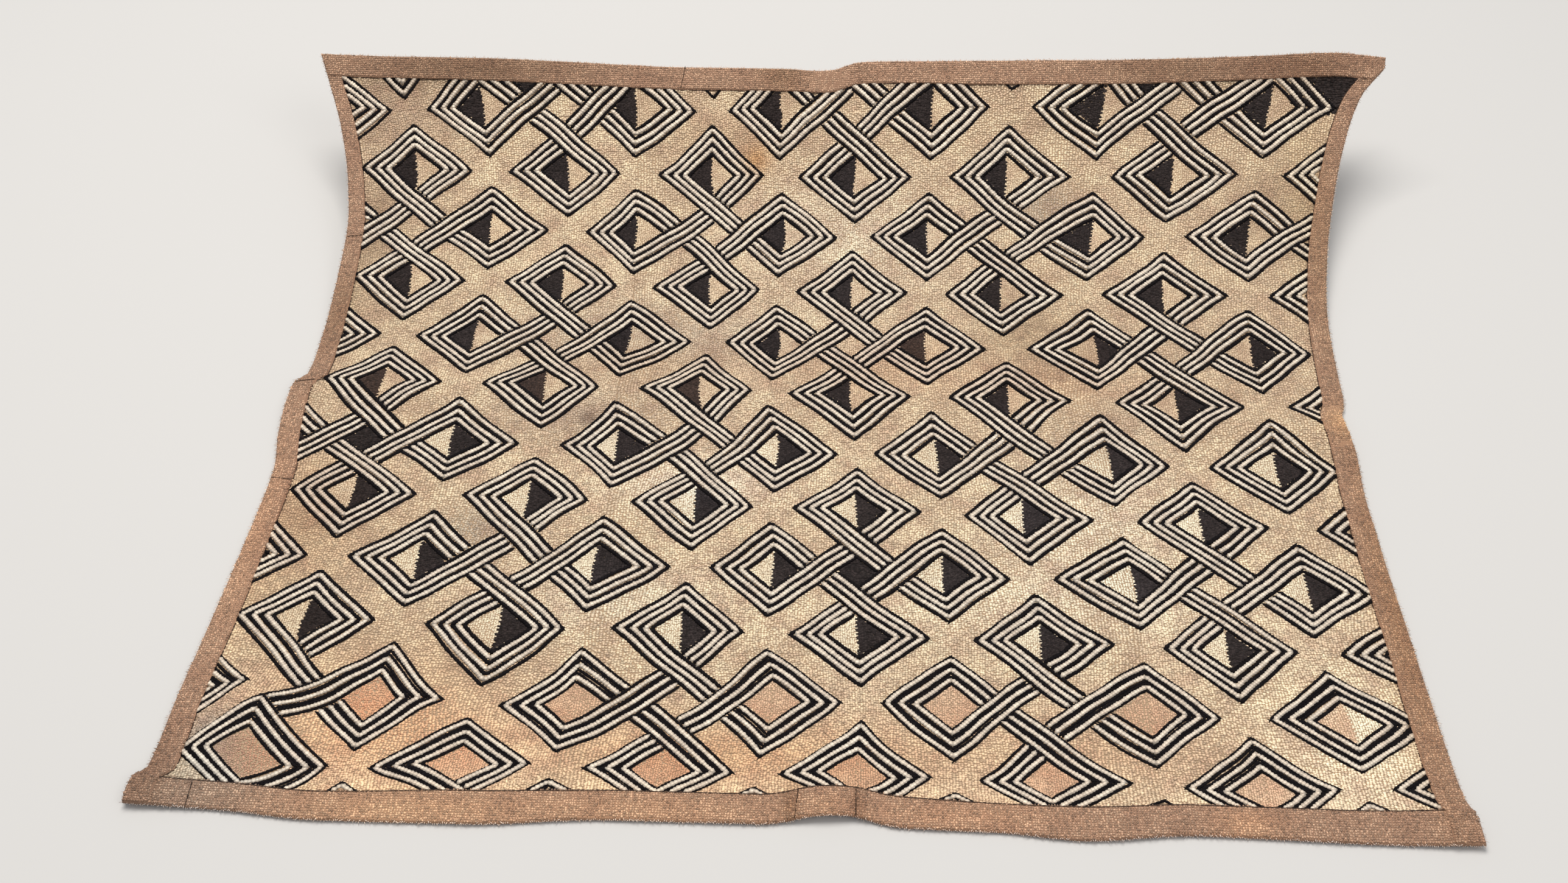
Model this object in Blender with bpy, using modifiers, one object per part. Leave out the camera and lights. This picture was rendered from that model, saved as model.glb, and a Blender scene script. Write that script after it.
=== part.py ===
"""Kuba raffia cloth, laid out.

One panel of woven raffia with its own four edges folded over and sewn as hems. The front part lies flat.
The back part curls up, and two old folds cross the cloth. Lengths are in metres.

Places on the cloth are given by x, across it from its middle line, and s, along it from its front edge.
"""

import bmesh
import bpy
import numpy as np

MM = 0.001

# The sheet and its folded edges.
CLOTH_THICKNESS = 1.8 * MM
HEM_THICKNESS = 2.6 * MM
CORNER_THICKNESS = 3.3 * MM
HEM_SLOPE = 1.6 * MM

# How the cloth lies: flat from the front edge to CURL_START, then bending up steadily.
CURL_START = 293 * MM
CURL_END = 531 * MM
CURL_END_SLOPE = np.radians(38)

# Side edges and the width of their hems, front to back.
# Columns: s, left edge x, right edge x, left hem width, right hem width, all in mm.
SIDES = (
    (0, -328, 274, 12.5, 13.0),
    (14, -329, 274, 12.5, 13.0),
    (19, -328, 273, 12.5, 13.0),
    (24, -323, 271, 12.5, 13.0),
    (60, -321, 269, 12.0, 13.0),
    (110, -317, 267, 12.0, 12.5),
    (165, -313, 265, 11.5, 12.5),
    (210, -311, 264, 11.5, 12.0),
    (241, -315, 265, 11.5, 12.0),
    (266, -316, 263, 11.0, 12.0),
    (276, -315, 266, 11.0, 11.5),
    (283, -309, 267, 11.0, 11.5),
    (340, -308, 269, 10.5, 11.0),
    (395, -308, 276, 10.0, 11.0),
    (430, -312, 283, 9.5, 10.5),
    (470, -321, 293, 9.0, 10.5),
    (500, -331, 304, 8.5, 10.0),
    (520, -338, 320, 8.5, 10.0),
)

# Front and back edges and the width of their hems, left to right.
# Columns: x, front edge s, back edge s, front hem width, back hem width, all in mm.
ENDS = (
    (-338, 5, 518, 15.0, 14.0),
    (-290, 4, 517, 14.0, 14.0),
    (-240, 0, 517, 14.5, 14.5),
    (-175, 0, 515, 17.0, 14.5),
    (-112, 4, 513, 15.0, 14.5),
    (-45, 4, 513, 15.0, 14.5),
    (-20, 7, 514, 15.5, 14.5),
    (-3, 8, 518, 15.0, 14.0),
    (20, 4, 519, 15.5, 14.0),
    (63, 3, 520, 14.5, 15.0),
    (100, 0, 521, 17.0, 15.5),
    (150, 4, 522, 15.5, 15.5),
    (240, 2, 526, 17.0, 15.0),
    (290, 2, 529, 18.5, 15.0),
    (320, 3, 526, 18.5, 15.0),
)

# Soft ridges and troughs left by folding. Each follows a line from one end to the other.
# Columns: name, x and s of the first end, x and s of the second end, half width across the line,
# height at the first end, height at the second end, all in mm. A trough has a negative height.
FOLDS = (
    ("centre fold, front", -14, 0, -6, 95, 24, 3.5, 0.0),
    ("centre fold, back", -24, 524, -10, 430, 24, -4.5, 0.0),
    ("cross fold, left", -318, 277, -60, 274, 20, 2.4, 1.2),
    ("cross fold, middle", -60, 274, 60, 268, 20, 1.2, 1.2),
    ("cross fold, right", 60, 268, 268, 256, 20, 1.2, 3.0),
    ("left edge, raised", -316, 258, -312, 215, 18, 2.0, 0.0),
    ("right edge, raised", 266, 240, 266, 205, 18, 2.4, 0.0),
    ("front left corner", -330, 8, -290, 30, 26, 2.2, 0.0),
    ("front right corner", 276, 8, 236, 32, 26, 2.2, 0.0),
)

# How finely the sheet is divided: between its hems, in each hem, and along the sum that measures the curl.
COLUMNS_BETWEEN_HEMS = 44
ROWS_BETWEEN_HEMS = 38
LINES_IN_A_HEM = 3
CURL_STEPS = 40

# Edges that bend more than this stay sharp when the cloth is shaded.
SHARP_ANGLE = np.radians(40)

# Finish of the raffia.
RAFFIA_COLOUR = (0.52, 0.36, 0.22, 1.0)
RAFFIA_ROUGHNESS = 0.85


def column(table, at, wanted):
    """Smoothly reads one column of a table of mm against its first column, in metres."""
    rows = np.array(table, float) * MM
    places, values = rows[:, 0], rows[:, wanted]
    slopes = np.diff(values) / np.diff(places)
    before, after = slopes[:-1], slopes[1:]
    level = before * after <= 0
    between = np.where(level, 0.0, 2 * before * after / np.where(level, 1.0, before + after))
    tangents = np.concatenate((slopes[:1], between, slopes[-1:]))
    at = np.clip(at, places[0], places[-1])
    i = np.clip(np.searchsorted(places, at) - 1, 0, len(places) - 2)
    span = places[i + 1] - places[i]
    t = (at - places[i]) / span
    return ((1 + 2 * t) * (1 - t) ** 2 * values[i] + t * t * (3 - 2 * t) * values[i + 1]
            + t * (1 - t) ** 2 * span * tangents[i] - t * t * (1 - t) * span * tangents[i + 1])


def curl(s):
    """Distance back from the front edge, height and slope at s, for a slope that grows steadily."""
    bend = max(s - CURL_START, 0.0)
    rate = CURL_END_SLOPE / (CURL_END - CURL_START)
    step = bend / CURL_STEPS
    slopes = (np.arange(CURL_STEPS) + 0.5) * step * rate
    back = min(s, CURL_START) + np.sum(np.cos(slopes)) * step
    return back, np.sum(np.sin(slopes)) * step, bend * rate


def fold_height(x, s):
    """Height that the folds add to the sheet at x, s. Where ridges meet, the higher one counts."""
    ridge = 0.0
    trough = 0.0
    for _, x0, s0, x1, s1, half_width, first, second in FOLDS:
        from_start = np.array((x - x0 * MM, s - s0 * MM))
        line = np.array((x1 - x0, s1 - s0)) * MM
        along = np.clip(np.dot(from_start, line) / np.dot(line, line), 0.0, 1.0)
        away = min(np.linalg.norm(from_start - along * line) / (half_width * MM), 1.0)
        height = (first + (second - first) * along) * MM * (1.0 - away * away) ** 2
        ridge = max(ridge, height)
        trough = min(trough, height)
    return ridge + trough


def place(x, s):
    """World position of the underside of the cloth at x, s."""
    back, up, slope = curl(s)
    lift = fold_height(x, s)
    return x, back - lift * np.sin(slope), up + lift * np.cos(slope)


def across(step, steps, near, far, near_hem, far_hem):
    """Place of one grid line between two edges, with lines at both edges of each hem's slope."""
    near_fold = near_hem - HEM_SLOPE / 2
    far_fold = far_hem - HEM_SLOPE / 2
    last_in_hem = LINES_IN_A_HEM - 1
    if step <= last_in_hem:
        return near + near_fold * step / last_in_hem
    if steps - step <= last_in_hem:
        return far - far_fold * (steps - step) / last_in_hem
    inside_near = near + near_fold + HEM_SLOPE
    inside_far = far - far_fold - HEM_SLOPE
    share = (step - LINES_IN_A_HEM) / (steps - 2 * LINES_IN_A_HEM)
    return inside_near + (inside_far - inside_near) * share


def in_hem(step, steps):
    return step < LINES_IN_A_HEM or steps - step < LINES_IN_A_HEM


def on_cloth(i, j, columns, rows):
    """x and s of a grid crossing. The sides depend on s and the ends on x, so they are read in turns."""
    s = (SIDES[0][0] + (SIDES[-1][0] - SIDES[0][0]) * j / rows) * MM
    for _ in range(3):
        x = across(i, columns, *(column(SIDES, s, wanted) for wanted in (1, 2, 3, 4)))
        s = across(j, rows, *(column(ENDS, x, wanted) for wanted in (1, 2, 3, 4)))
    return x, s


def build_cloth(collection):
    """A flat grid laid onto the cloth's underside, then given its thickness upwards."""
    columns = COLUMNS_BETWEEN_HEMS + 2 * LINES_IN_A_HEM
    rows = ROWS_BETWEEN_HEMS + 2 * LINES_IN_A_HEM
    bm = bmesh.new()
    bmesh.ops.create_grid(bm, x_segments=columns, y_segments=rows, size=1.0)
    layers_folded = []
    for vert in bm.verts:
        i = round((vert.co.x + 1) / 2 * columns)
        j = round((vert.co.y + 1) / 2 * rows)
        vert.co = place(*on_cloth(i, j, columns, rows))
        layers_folded.append(in_hem(i, columns) + in_hem(j, rows))
    mesh = bpy.data.meshes.new("raffia_cloth")
    bm.to_mesh(mesh)
    bm.free()

    cloth = bpy.data.objects.new("raffia_cloth", mesh)
    collection.objects.link(cloth)
    thicker = cloth.vertex_groups.new(name="hem thickness")
    hem_weight = (HEM_THICKNESS - CLOTH_THICKNESS) / (CORNER_THICKNESS - CLOTH_THICKNESS)
    weights = (0.0, hem_weight, 1.0)
    for index, folded in enumerate(layers_folded):
        thicker.add((index,), weights[folded], 'REPLACE')
    solidify = cloth.modifiers.new("cloth thickness", 'SOLIDIFY')
    solidify.thickness = CORNER_THICKNESS
    solidify.offset = 1.0
    solidify.vertex_group = thicker.name
    solidify.thickness_vertex_group = CLOTH_THICKNESS / CORNER_THICKNESS
    mesh.shade_smooth()
    mesh.set_sharp_from_angle(angle=SHARP_ANGLE)
    return cloth


def raffia_material():
    material = bpy.data.materials.new("raffia")
    material.use_nodes = True
    finish = material.node_tree.nodes["Principled BSDF"]
    finish.inputs["Base Color"].default_value = RAFFIA_COLOUR
    finish.inputs["Roughness"].default_value = RAFFIA_ROUGHNESS
    finish.inputs["Metallic"].default_value = 0.0
    return material


def centre_on_origin(cloth):
    """Shifts the sheet so that the origin lies under the middle of its box."""
    points = [vert.co for vert in cloth.data.vertices]
    middle_x = (min(p.x for p in points) + max(p.x for p in points)) / 2
    middle_y = (min(p.y for p in points) + max(p.y for p in points)) / 2
    for point in points:
        point.x -= middle_x
        point.y -= middle_y


def main():
    for thing in list(bpy.data.objects):
        bpy.data.objects.remove(thing, do_unlink=True)
    collection = bpy.data.collections.new("kuba_raffia_cloth")
    bpy.context.scene.collection.children.link(collection)
    cloth = build_cloth(collection)
    centre_on_origin(cloth)
    cloth.data.materials.append(raffia_material())


main()
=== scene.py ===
"""Kuba raffia cloth: the woven panel, its hems, its embroidery and its cut pile, laid on a plain floor.

Each thing on the cloth is first made flat, by x across the cloth from its middle line, s along it from its
front edge and h above its underside. It is then laid on the cloth's own folds and curl. Lengths are in
metres, except where a table says mm.
"""

import bpy
import numpy as np
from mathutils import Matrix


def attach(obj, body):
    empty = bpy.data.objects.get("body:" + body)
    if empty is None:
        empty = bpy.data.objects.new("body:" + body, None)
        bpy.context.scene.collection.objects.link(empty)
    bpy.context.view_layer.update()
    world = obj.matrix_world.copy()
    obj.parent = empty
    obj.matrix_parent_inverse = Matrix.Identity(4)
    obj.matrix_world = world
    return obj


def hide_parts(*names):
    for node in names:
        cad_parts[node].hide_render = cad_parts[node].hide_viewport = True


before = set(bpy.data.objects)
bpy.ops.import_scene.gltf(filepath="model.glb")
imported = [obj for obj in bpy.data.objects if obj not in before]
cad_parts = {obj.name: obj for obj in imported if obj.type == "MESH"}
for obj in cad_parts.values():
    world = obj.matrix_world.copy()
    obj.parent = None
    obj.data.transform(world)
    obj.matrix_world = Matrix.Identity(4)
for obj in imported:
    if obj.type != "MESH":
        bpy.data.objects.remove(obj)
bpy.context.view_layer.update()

bl_info = {
    "name": "Kuba raffia cloth",
    "version": (1, 0, 0),
    "blender": (4, 5, 0),
    "location": "3D View > Sidebar > Raffia Cloth",
    "description": "Builds an embroidered raffia cloth with cut pile and folded hems",
    "category": "Object",
}

MM = 0.001

# How the cloth lies: flat from the front edge to CURL_START, then bending up steadily.
CURL_START = 293 * MM
CURL_END = 531 * MM
CURL_END_SLOPE = np.radians(38)
CURL_STEPS = 40

# Side edges and the width of their hems, front to back.
# Columns: s, left edge x, right edge x, left hem width, right hem width, all in mm.
SIDES = (
    (0, -328, 274, 12.5, 13.0),
    (14, -329, 274, 12.5, 13.0),
    (19, -328, 273, 12.5, 13.0),
    (24, -323, 271, 12.5, 13.0),
    (60, -321, 269, 12.0, 13.0),
    (110, -317, 267, 12.0, 12.5),
    (165, -313, 265, 11.5, 12.5),
    (210, -311, 264, 11.5, 12.0),
    (241, -315, 265, 11.5, 12.0),
    (266, -316, 263, 11.0, 12.0),
    (276, -315, 266, 11.0, 11.5),
    (283, -309, 267, 11.0, 11.5),
    (340, -308, 269, 10.5, 11.0),
    (395, -308, 276, 10.0, 11.0),
    (430, -312, 283, 9.5, 10.5),
    (470, -321, 293, 9.0, 10.5),
    (500, -331, 304, 8.5, 10.0),
    (520, -338, 320, 8.5, 10.0),
)

# Front and back edges and the width of their hems, left to right.
# Columns: x, front edge s, back edge s, front hem width, back hem width, all in mm.
ENDS = (
    (-338, 5, 518, 15.0, 14.0),
    (-290, 4, 517, 14.0, 14.0),
    (-240, 0, 517, 14.5, 14.5),
    (-175, 0, 515, 17.0, 14.5),
    (-112, 4, 513, 15.0, 14.5),
    (-45, 4, 513, 15.0, 14.5),
    (-20, 7, 514, 15.5, 14.5),
    (-3, 8, 518, 15.0, 14.0),
    (20, 4, 519, 15.5, 14.0),
    (63, 3, 520, 14.5, 15.0),
    (100, 0, 521, 17.0, 15.5),
    (150, 4, 522, 15.5, 15.5),
    (240, 2, 526, 17.0, 15.0),
    (290, 2, 529, 18.5, 15.0),
    (320, 3, 526, 18.5, 15.0),
)

# Soft ridges and troughs left by folding. Each follows a line from one end to the other.
# Columns: name, x and s of the first end, x and s of the second end, half width across the line,
# height at the first end, height at the second end, all in mm. A trough has a negative height.
FOLDS = (
    ("centre fold, front", -14, 0, -6, 95, 24, 3.5, 0.0),
    ("centre fold, back", -24, 524, -10, 430, 24, -4.5, 0.0),
    ("cross fold, left", -318, 277, -60, 274, 20, 2.4, 1.2),
    ("cross fold, middle", -60, 274, 60, 268, 20, 1.2, 1.2),
    ("cross fold, right", 60, 268, 268, 256, 20, 1.2, 3.0),
    ("left edge, raised", -316, 258, -312, 215, 18, 2.0, 0.0),
    ("right edge, raised", 266, 240, 266, 205, 18, 2.4, 0.0),
    ("front left corner", -330, 8, -290, 30, 26, 2.2, 0.0),
    ("front right corner", 276, 8, 236, 32, 26, 2.2, 0.0),
)

# How the rows of diamonds lie, from the one that the back hem cuts to the one under the front hem.
# Diamonds are half a pitch apart across each row, counted from the middle line.
# Columns: x at 6, 3 and 1 half pitches left and at 1, 3 and 6 half pitches right,
# then s at 6 half pitches left, at the middle and at 6 half pitches right, all in mm.
FIRST_ROW = -1
PATTERN_ROWS = (
    (-296, -145, -51, 44, 155, 318, 531, 535, 542),
    (-286, -140, -50, 42, 147, 301, 484, 488, 494),
    (-273, -137, -49, 42, 141, 293, 441, 441, 449),
    (-269, -134, -46, 39, 137, 278, 400, 399, 405),
    (-266, -134, -48, 39, 132, 275, 362, 358, 362),
    (-268, -132, -46, 37, 135, 267, 319, 317, 318),
    (-267, -135, -48, 39, 131, 273, 280, 277, 274),
    (-268, -130, -43, 41, 134, 266, 236, 232, 226),
    (-266, -132, -45, 43, 134, 269, 197, 192, 184),
    (-271, -133, -43, 42, 137, 269, 151, 150, 143),
    (-272, -134, -45, 45, 137, 270, 111, 110, 105),
    (-274, -136, -40, 43, 136, 277, 60, 70, 65),
    (-278, -139, -46, 44, 136, 276, 33, 30, 31),
    (-281, -141, -46, 45, 138, 278, 2, 4, 3),
)
X_COLUMNS = (-6, -3, -1, 1, 3, 6)
S_COLUMNS = (-6, 0, 6)

# Slow wandering of the handwork from the plan. The same waves, started elsewhere, move x and s.
# Columns: wavelength across and along the cloth in mm, where in the wave it starts, and its depth in mm.
WANDER = ((61, 143, 0.4, 0.35), (-47, 83, 2.2, 0.3), (118, -39, 5.0, 0.3), (29, 37, 1.1, 0.15))

# Places where the handwork is off the plan.
# Columns: name, u and v of the middle and reach in half pitches, then how far x and s are moved there in mm.
NUDGES = (
    ("cut diamond at the back left", -6.3, 0, 0.9, 8, 0),
    ("cut diamond at the left", -6.3, 4, 0.8, 4, 0),
    ("cut diamond at the left, nearer", -6.3, 8, 0.8, 2.5, 3),
    ("cut diamond at the front left", -6.4, 10, 0.75, -3, 13),
    ("diamond in the front left corner, top", -6, 10.3, 0.4, -3, 5),
    ("diamond in the front left corner, upper left", -6.2, 10.85, 0.45, -5, 3),
    ("diamond in the front left corner, lower right", -5.6, 11.25, 0.5, 3, -9),
    ("diamond beside it, left", -5.45, 9.85, 0.4, -1, 4),
    ("diamond beside it, right", -4.5, 10, 0.5, -7, 5),
    ("next diamond along the front hem, left corner", -4.7, 11, 0.4, -4, -4),
    ("corner under the front hem, left", -5, 12, 0.6, -6, -6),
    ("diamond at the front hem, right", 4, 11.1, 0.75, 4, -4),
    ("corner under the back hem, left", -6, -0.3, 0.45, 0, -6),
    ("corner under the back hem, left of the middle", -2, -0.3, 0.45, 0, -5),
    ("cut diamond at the front right", 5.3, 9, 0.7, -4, 0),
    ("flattened corner, middle", -0.9, 5.2, 0.5, -3, 1),
    ("flattened corner, right", 3.9, 5.0, 0.5, 0, -2),
    ("bulge in a band, left", -3.6, 9.5, 0.6, 2, -2),
)

# The pattern, in half pitches. A knot is four square loops, and a loop is a band round one diamond, from CORE
# to RING out from its middle. Then come the last column and row of knots, and their period.
CORE = 0.31
RING = 0.77
OPENING = 1 - RING
UNDER_END = 1 - CORE
LAST_KNOT = 8
FRONT_KNOT_ROW = 14
KNOT_PERIOD = 4

# Half a pitch across the cloth and one row of diamonds along it, about the same all over.
HALF_PITCH = 45 * MM
ROW_STEP = 41 * MM

# Rows of stitches across a band, from its core outwards: C for cream and B for black. Near the front edge
# the black rows between two cream ones are double.
BAND = "BCBCBCB"
FRONT_BAND = "BCBBCBBCB"
FIRST_DOUBLE_ROW = 10
EDGE_WIDTH = 0.85

# Share of a band's width that its black rows take, for each row of diamonds from the first.
BLACK_SHARE = (0.50, 0.50, 0.51, 0.52, 0.54, 0.56, 0.55, 0.54, 0.53, 0.53, 0.54, 0.57, 0.58, 0.58)

# The left half of a core is black before this row of diamonds, and its right half from there on and in a few
# cores before. Some black halves have faded to brown.
FIRST_TURNED_ROW = 6
TURNED_EARLY = ((-7, 2), (-7, 4), (3, 4), (5, 4), (4, 5))
FADED_CORES = ((1, 4), (-2, 5), (-6, 5), (-4, 5))

# From the first of these rows on, light halves are pale. From the second on, cores are bare all over, but one.
FIRST_PALE_ROW = 6
FIRST_BARE_ROW = 10
HALF_BARE_CORES = ((5, 10),)

# Knots whose opening is filled with black.
DARK_OPENINGS = ((0, 8), (-6, 6))

# Lanes filled with black along the back hem: just outside three knots, and in the corner that has no knot.
DARK_LANE_KNOTS = ((-4, 0), (0, 0), (4, 0))
DARK_CORNER = (5.2, 0.1)
MISSING_KNOT = (6, -2)

# Old stains and other soft patches that tint whatever lies in them. Those over the cross fold are painted
# shade of the fold, together with soiling along it.
# Columns: name, x and s of the middle and reach across and along in mm, then tint as red, green and blue.
STAINS_AND_PAINTED_SHADE = (
    ("orange stain by the back", -64, 452, 9, 11, 0.90, 0.70, 0.50),
    ("small dark spot", -148, 255, 5, 5, 0.45, 0.40, 0.40),
    # Painted shade of the cross fold, together with soiling along it.
    ("brown patch over the cross fold, left", -120, 300, 70, 16, 0.90, 0.84, 0.80),
    ("brown patch over the cross fold, middle", 20, 300, 60, 22, 0.92, 0.84, 0.80),
    ("brown patch over the cross fold, right", 110, 290, 45, 18, 0.92, 0.85, 0.82),
    ("brown patch at the left edge", -285, 190, 26, 40, 0.88, 0.80, 0.76),
    ("dark fold in the front hem, left", -30, 13, 4, 10, 0.62, 0.54, 0.46),
    ("dark fold in the front hem, right", 0, 14, 4, 9, 0.60, 0.54, 0.50),
    ("light stretch of the front hem", -14, 14, 10, 8, 1.20, 1.18, 1.12),
    ("light front hem, left", -205, 6, 50, 10, 1.42, 1.40, 1.26),
    ("light front hem, middle left", -95, 9, 60, 10, 1.26, 1.22, 1.12),
    ("light front hem, middle right", 45, 10, 45, 9, 1.26, 1.20, 1.12),
    ("light front hem, right", 172, 10, 14, 9, 1.34, 1.26, 1.14),
    ("grey corner, front left", -300, 12, 30, 20, 0.88, 0.98, 1.06),
    ("light left hem", -311, 165, 9, 70, 1.32, 1.30, 1.22),
    ("dark left hem, front", -322, 25, 12, 25, 0.72, 0.66, 0.62),
    ("dark left hem, back", -302, 335, 9, 36, 0.82, 0.80, 0.74),
    ("orange right hem", 263, 130, 10, 110, 0.94, 0.86, 0.73),
    ("brown right hem, back", 272, 400, 16, 100, 0.92, 0.90, 0.82),
    ("light right hem at the fold", 262, 262, 9, 12, 1.6, 1.6, 1.36),
    ("dark back hem, left", -245, 510, 75, 12, 0.60, 0.58, 0.54),
    ("dark back hem, middle", -50, 508, 14, 12, 0.80, 0.78, 0.72),
    ("dark back hem, right", 190, 516, 50, 12, 0.72, 0.70, 0.66),
    ("dark back hem, far right", 268, 520, 42, 12, 0.62, 0.56, 0.52),
)

# Fading and soiling of the cut pile alone, in the same columns. The patches over and before the cross fold are
# painted shade of the fold, together with soiling along it.
PILE_PATCHES = (
    ("soiled left side", -300, 150, 60, 70, 0.86, 0.80, 0.74),
    ("soiled left side, back", -300, 330, 50, 90, 0.88, 0.86, 0.84),
    ("brown, left edge of the back", -292, 400, 18, 30, 0.60, 0.54, 0.50),
    ("soiled back left corner", -290, 486, 45, 36, 0.68, 0.62, 0.62),
    ("brown, back left of the middle", -85, 466, 34, 20, 0.84, 0.78, 0.74),
    ("pale, middle of the back", -3, 400, 60, 40, 1.06, 1.12, 1.20),
    ("brown spot, back right", 112, 422, 18, 18, 0.74, 0.76, 0.82),
    ("brown, back right", 255, 424, 30, 34, 0.70, 0.65, 0.62),
    ("brown, right of the middle", 98, 330, 34, 28, 0.74, 0.70, 0.66),
    # Painted shade of the cross fold, together with soiling along it, over the fold and before it.
    ("brown over the cross fold, left", -120, 318, 100, 32, 0.84, 0.86, 0.92),
    ("brown over the cross fold, right", 190, 312, 90, 34, 0.86, 0.83, 0.83),
    ("brown before the cross fold, left", -150, 256, 60, 18, 0.76, 0.74, 0.78),
    ("brown before the cross fold, right", 130, 251, 40, 18, 0.84, 0.82, 0.84),
    ("pale, left of the middle", -85, 210, 40, 20, 1.12, 1.20, 1.34),
    ("pale, right of the middle", 120, 186, 50, 40, 1.14, 1.22, 1.32),
    ("brown spot, left", -197, 174, 16, 16, 0.70, 0.72, 0.78),
    ("pale, front of the middle", 90, 132, 90, 22, 1.12, 1.18, 1.24),
    ("pale, front, left of the middle", -120, 132, 45, 20, 1.08, 1.16, 1.24),
    ("soiled, front left", -200, 90, 50, 30, 0.92, 0.90, 0.88),
    ("pink, front middle", -60, 40, 110, 22, 0.98, 0.79, 0.67),
    ("pink, front left", -225, 50, 60, 36, 1.14, 0.91, 0.77),
    ("pink, front right", 110, 48, 60, 24, 0.97, 0.87, 0.82),
    ("pale, front right corner", 225, 45, 40, 45, 1.28, 1.34, 1.38),
    ("grey front left corner", -300, 42, 16, 18, 0.56, 0.60, 0.72),
    ("brown core, front left", -279, 32, 14, 12, 0.82, 0.76, 0.76),
)


def size_property(name, description, millimetres):
    return bpy.props.FloatProperty(name=name, description=description, default=millimetres * MM,
                                   subtype='DISTANCE')


def colour_property(name, description, colour):
    return bpy.props.FloatVectorProperty(name=name, description=description, default=colour, size=3,
                                         min=0, max=1, subtype='COLOR')


class ClothSizes(bpy.types.PropertyGroup):
    """Sizes of the woven panel and its hems."""

    weave_thickness: size_property("Weave Thickness", "Thickness of the ground under the embroidery", 1.1)
    hem_thickness: size_property("Hem Thickness", "Thickness of a folded hem", 2.4)
    corner_thickness: size_property("Corner Thickness", "Thickness where two hems lie on each other", 3.2)
    thread_pitch: size_property("Thread Pitch", "Distance from one woven raffia thread to the next", 1.25)
    hem_thread_pitch: size_property("Hem Thread Pitch", "Distance between the hems' coarse threads", 1.25)
    unevenness: size_property("Unevenness", "How far the cloth rises and sinks between its folds", 0.5)


class StitchSizes(bpy.types.PropertyGroup):
    """Sizes of the stem stitches and of the cut pile."""

    stitch_pitch: size_property("Stitch Pitch", "Distance from one stem stitch to the next", 1.6)
    stitch_length: size_property("Stitch Length", "Length of one stem stitch", 5.4)
    stitch_height: size_property("Stitch Height", "Thickness of one stem stitch", 1.4)
    slant: bpy.props.FloatProperty(
        name="Slant", description="Angle between a stem stitch and its row",
        default=np.radians(9), subtype='ANGLE')
    tuft_pitch: size_property("Tuft Pitch", "Distance between tufts of cut pile in a row", 1.25)
    tuft_row_pitch: size_property("Tuft Row Pitch", "Distance between rows of cut pile", 1.4)
    tuft_height: size_property("Tuft Height", "Thickness of the cut pile", 1.3)
    seed: bpy.props.IntProperty(
        name="Seed", description="Fixed number that the unevenness of the handwork starts from",
        default=7)


class RaffiaColours(bpy.types.PropertyGroup):
    """Colours of the raffia."""

    hem: colour_property("Hem", "Weathered raffia of the hems", (0.375, 0.216, 0.137))
    ground: colour_property("Ground", "Woven raffia under the pile", (0.46, 0.32, 0.20))
    worn: colour_property("Worn Pile", "Worn raffia in the cores near the front", (0.62, 0.385, 0.25))
    tan: colour_property("Tan Pile", "Undyed cut pile", (0.86, 0.70, 0.475))
    pale: colour_property("Pale Pile", "Palest cut pile, in the cores", (0.90, 0.80, 0.59))
    cream: colour_property("Cream Stitches", "Palest raffia, in the stem stitches", (0.79, 0.70, 0.57))
    black: colour_property("Black", "Dyed raffia", (0.005, 0.004, 0.0045))
    black_pile: colour_property("Black Pile", "Dyed cut pile, a little faded", (0.022, 0.0165, 0.0155))
    faded: colour_property("Faded Pile", "Dyed cut pile that has turned brown", (0.075, 0.047, 0.036))
    fuzz: colour_property("Fuzz", "Loose fibres along the outer edges", (0.60, 0.46, 0.38))
    # Dark thread of the hems, also used as painted shadow along their inner edges.
    sewing: colour_property("Sewing Thread", "Dark thread that holds the hems down, also painted shadow along their inner edges", (0.035, 0.02, 0.014))


def curve_between(t, first, second, first_rise, second_rise):
    """A smooth curve from one value to the next, for t from 0 to 1. Each rise is the slope times the span."""
    return ((1 + 2 * t) * (1 - t) ** 2 * first + t * t * (3 - 2 * t) * second
            + t * (1 - t) ** 2 * first_rise - t * t * (1 - t) * second_rise)


def column(table, at, wanted):
    """Smoothly reads one column of a table of mm against its first column, in metres."""
    rows = np.array(table, float) * MM
    places, values = rows[:, 0], rows[:, wanted]
    slopes = np.diff(values) / np.diff(places)
    before, after = slopes[:-1], slopes[1:]
    level = before * after <= 0
    between = np.where(level, 0.0, 2 * before * after / np.where(level, 1.0, before + after))
    tangents = np.concatenate((slopes[:1], between, slopes[-1:]))
    at = np.clip(at, places[0], places[-1])
    i = np.clip(np.searchsorted(places, at) - 1, 0, len(places) - 2)
    span = places[i + 1] - places[i]
    t = (at - places[i]) / span
    return curve_between(t, values[i], values[i + 1], span * tangents[i], span * tangents[i + 1])


def read_evenly(values, at):
    """Reads evenly spaced values at places counted in steps, on a curve that runs straight on at its ends.

    The values are one column, or one column for each place."""
    slopes = np.gradient(values, axis=0)
    inside = np.clip(at, 0, len(values) - 1)
    i = np.minimum(inside.astype(int), len(values) - 2)
    t = inside - i
    each = np.arange(len(at))

    def pick(table, row):
        return table[row] if table.ndim == 1 else table[row, each]

    curve = curve_between(t, pick(values, i), pick(values, i + 1), pick(slopes, i), pick(slopes, i + 1))
    return curve + pick(slopes, np.where(t > 0.5, i + 1, i)) * (at - inside)


def steps_along(places, at):
    """Where a place falls among others, in steps, going on past the first and the last."""
    before = np.minimum(at - places[0], 0) / (places[1] - places[0])
    after = np.maximum(at - places[-1], 0) / (places[-1] - places[-2])
    return np.interp(at, places, np.arange(len(places))) + before + after


def wander(x, s, start):
    waves = [depth * MM * np.sin(2 * np.pi * (x / (across * MM) + s / (along * MM)) + begin + start)
             for across, along, begin, depth in WANDER]
    return np.sum(waves, axis=0)


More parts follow.
